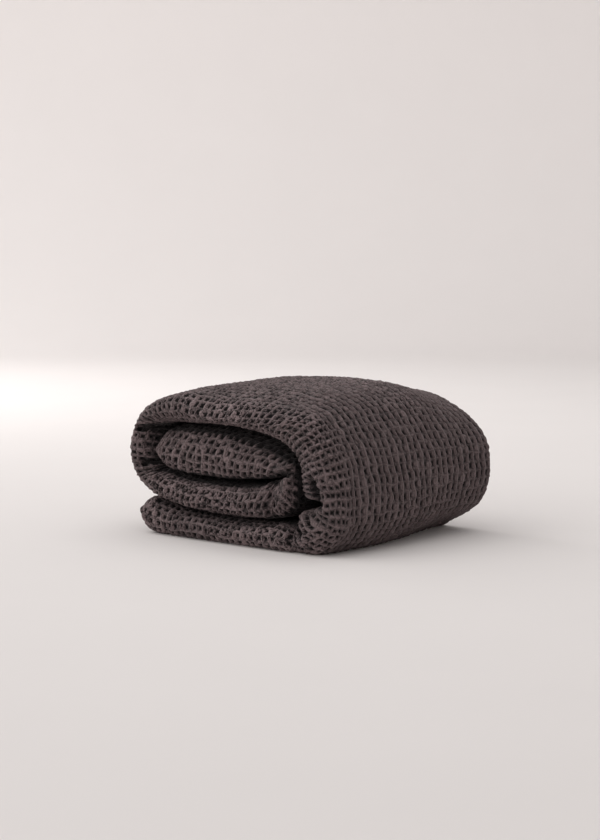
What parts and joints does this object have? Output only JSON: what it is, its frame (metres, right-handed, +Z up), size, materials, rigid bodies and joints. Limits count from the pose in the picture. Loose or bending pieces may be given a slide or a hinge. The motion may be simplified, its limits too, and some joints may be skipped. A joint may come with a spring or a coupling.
{
  "type": "folded waffle weave cotton blanket",
  "caption": "Charcoal waffle weave cotton blanket, folded lengthwise into a thick soft strip and rolled flat into a low bundle that lies on its foot layer.",
  "frame": {"origin": "on the resting surface, under the middle of the roll's bounding box", "axes": "+Z up, +X across the roll towards the outer turn of its top layer, -Y towards the near edge, where the roll's layers show as one spiral"},
  "size_m": [0.3022, 0.2622, 0.1627],
  "materials": {
    "waffle_cotton": "matt charcoal cotton in a deep waffle weave, washed soft"
  },
  "bodies": {
    "root": {"blanket": "waffle_cotton"}
  },
  "joints": []
}
